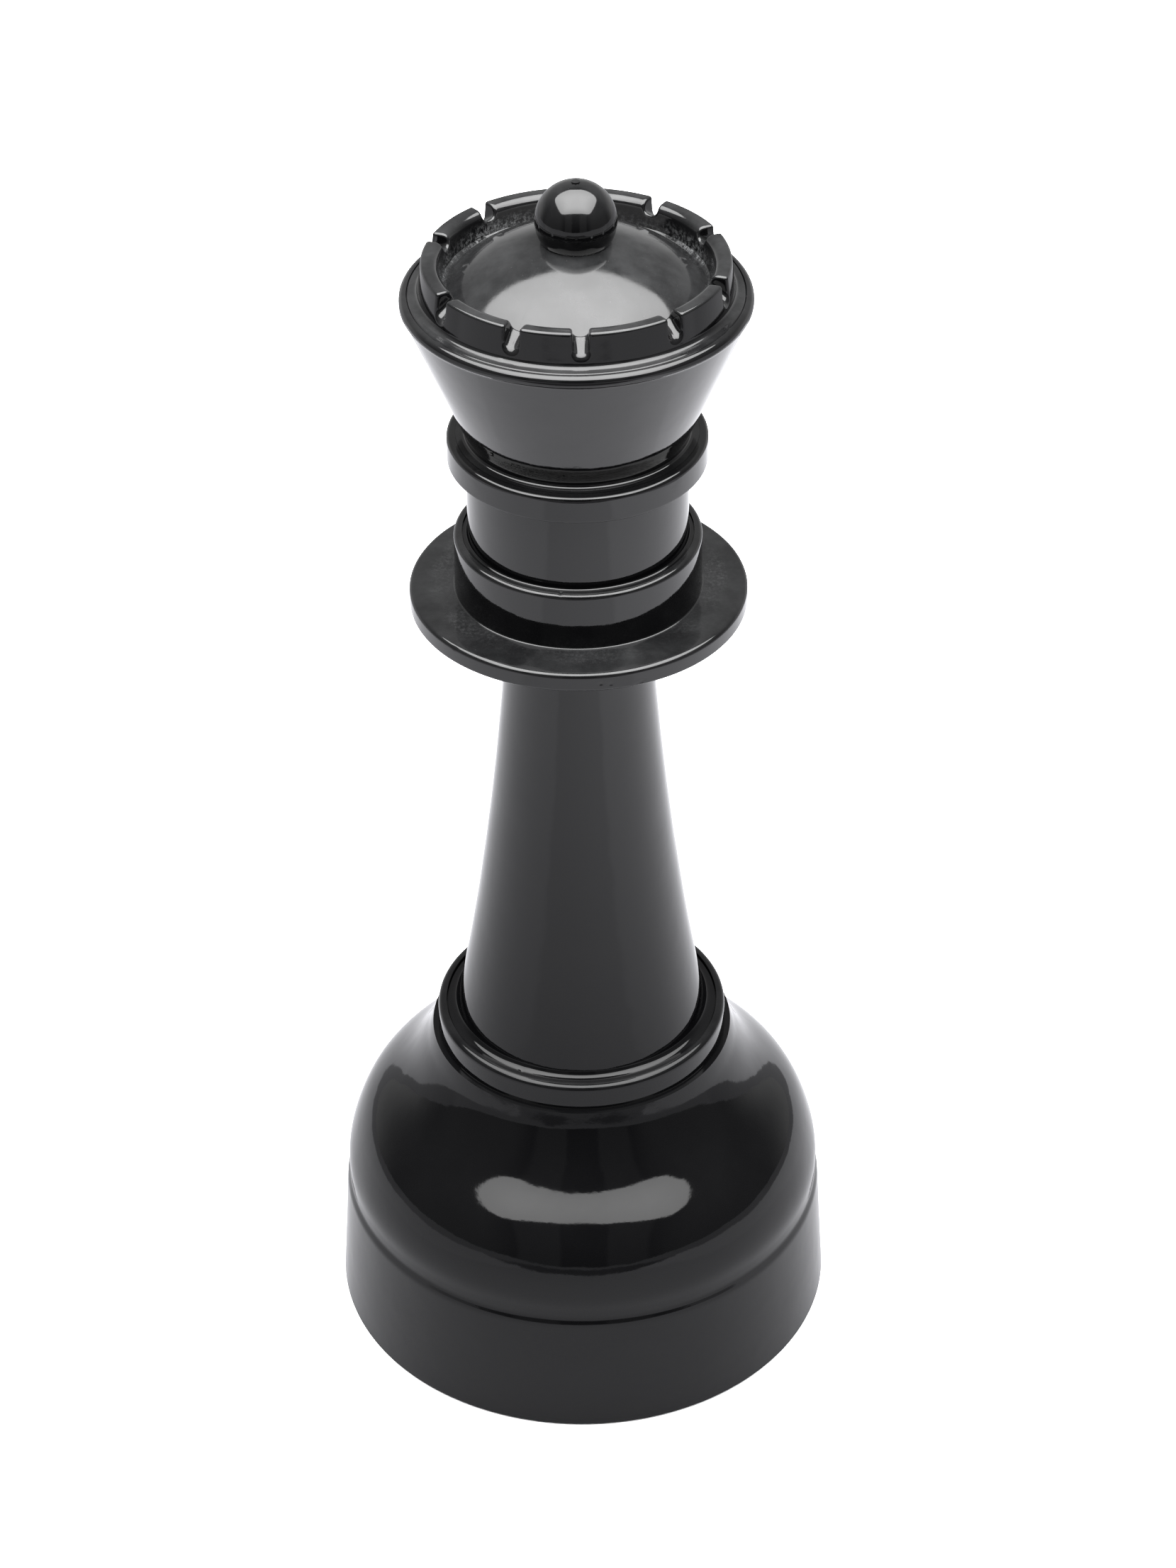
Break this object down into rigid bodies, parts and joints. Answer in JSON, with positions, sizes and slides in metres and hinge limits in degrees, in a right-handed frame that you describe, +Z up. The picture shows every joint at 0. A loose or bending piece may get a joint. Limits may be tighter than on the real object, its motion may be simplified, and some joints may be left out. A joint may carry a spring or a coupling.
{
  "type": "giant chess piece",
  "caption": "Giant garden chess queen in hollow black plastic sections: bell base, tapered stem, disc and cup collar, flared head, battlemented crown and ball finial.",
  "frame": {"origin": "centre of the circle that the base rim stands on", "axes": "+Z up along the axis of the piece; -Y is the side seen in front"},
  "size_m": [0.2248, 0.2248, 0.5623],
  "materials": {
    "gloss_black": "high-gloss moulded black, slightly wavy",
    "matte_black": "moulded black, fine texture",
    "rubber_black": "dull black rubber",
    "sand": "dry kiln sand, a loose fill",
    "zinc_steel": "zinc-plated steel",
    "brass_insert": "turned brass"
  },
  "bodies": {
    "base": {"base_shell": "gloss_black", "base_plate": "matte_black", "base_plate_gasket": "rubber_black", "base_plate_screws": "zinc_steel", "ballast_fill": "sand", "base_collar": "gloss_black", "base_collar_locknut": "matte_black"},
    "plug_seal": {"filler_plug_seal": "rubber_black"},
    "plug": {"filler_plug": "matte_black"},
    "stem": {"stem_shell": "gloss_black", "collar_cup": "gloss_black", "collar_cup_washers": "zinc_steel", "collar_cup_screws": "zinc_steel"},
    "head": {"neck_sleeve": "gloss_black", "upper_collar": "gloss_black", "head_cup": "gloss_black", "crown": "gloss_black", "finial_ball": "gloss_black", "finial_insert": "brass_insert", "head_tie_rod": "zinc_steel", "head_tie_washer": "zinc_steel", "head_tie_nut": "zinc_steel"}
  },
  "joints": [
    {"name": "stem_lift", "type": "slide", "parent": "base", "child": "stem", "axis": [0, 0, 1], "range_m": [0, 0.042]},
    {"name": "head_lift", "type": "slide", "parent": "stem", "child": "head", "axis": [0, 0, 1], "range_m": [0, 0.032]},
    {"name": "plug_travel", "type": "slide", "parent": "base", "child": "plug_seal", "axis": [0, 0, -1], "range_m": [0, 0.016]},
    {"name": "plug_turn", "type": "hinge", "parent": "plug_seal", "child": "plug", "pos_m": [0, 0, 0.0245], "axis": [0, 0, -1], "range_deg": [0, 1440]}
  ],
  "couplings": [
    {"joint": "plug_turn", "follows": "plug_travel", "rad_per_m": 1570.8}
  ]
}
